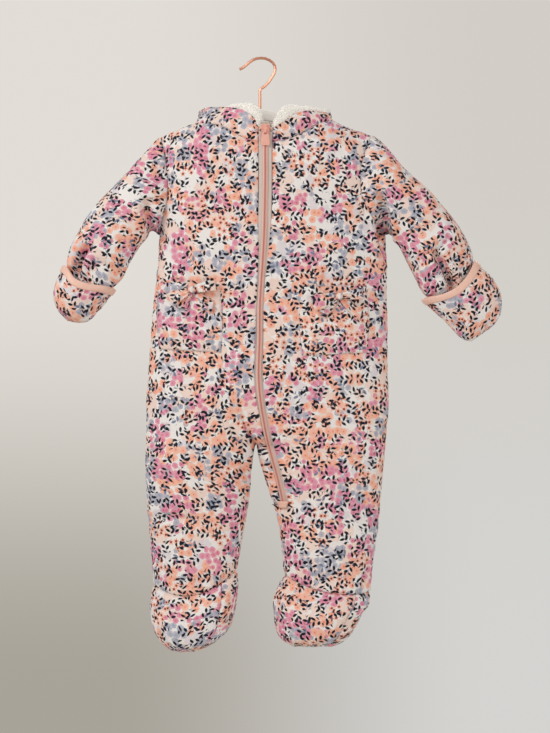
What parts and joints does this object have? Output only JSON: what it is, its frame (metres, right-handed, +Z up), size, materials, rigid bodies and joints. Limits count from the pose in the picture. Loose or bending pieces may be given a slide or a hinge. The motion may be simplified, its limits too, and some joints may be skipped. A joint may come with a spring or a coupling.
{
  "type": "baby snowsuit on a hanger",
  "caption": "Padded baby snowsuit with a fallen plush hood, fold-over mittens, feet, bows on its pockets and a long curved zip, on a small hanger.",
  "frame": {"origin": "inner top of the hanger's hook, where the rail or nail carries it", "axes": "+Z up along the suit's length, -Y out of the suit's front, +X towards the suit's own left arm"},
  "size_m": [0.5384, 0.1169, 0.7145],
  "materials": {
    "floral": "woven shell cloth with a small printed pattern of flowers and sprigs, padded",
    "plush": "short soft cream pile",
    "binding": "peach woven binding tape",
    "tape": "herringbone zip tape, grey beige",
    "chain": "peach nylon coil chain",
    "pull": "soft moulded peach tab with small raised dots",
    "velvet": "cream flocked surface",
    "rose_gold": "rose gold plated wire, satin"
  },
  "bodies": {
    "suit": {"back_left": "floral", "back_right": "floral", "bow_knot_left": "floral", "bow_knot_right": "floral", "bow_loop_inner_left": "floral", "bow_loop_inner_right": "floral", "bow_loop_outer_left": "floral", "bow_loop_outer_right": "floral", "bow_tail_inner_left": "floral", "bow_tail_inner_right": "floral", "bow_tail_outer_left": "floral", "bow_tail_outer_right": "floral", "foot_side_left": "floral", "foot_side_right": "floral", "foot_top_left": "floral", "foot_top_right": "floral", "front_left": "floral", "front_right": "floral", "hanger_body": "velvet", "hanger_hook": "rose_gold", "hood_left": "floral", "hood_lining_left": "plush", "hood_lining_right": "plush", "hood_right": "floral", "mitten_back_left": "floral", "mitten_back_right": "floral", "mitten_binding_left": "binding", "mitten_binding_right": "binding", "mitten_front_left": "floral", "mitten_front_right": "floral", "pocket_left": "floral", "pocket_right": "floral", "sleeve_left": "floral", "sleeve_right": "floral", "zip_chain": "chain", "zip_guard": "binding", "zip_slider": "pull", "zip_tack": "binding", "zip_tape_left": "tape", "zip_tape_right": "tape"},
    "pull": {"zip_pull": "pull"}
  },
  "joints": [
    {"name": "pull_swing", "type": "hinge", "parent": "suit", "child": "pull", "pos_m": [0.0066, -0.0365, -0.0876], "axis": [-1, 0, 0], "range_deg": [0, 130]}
  ]
}
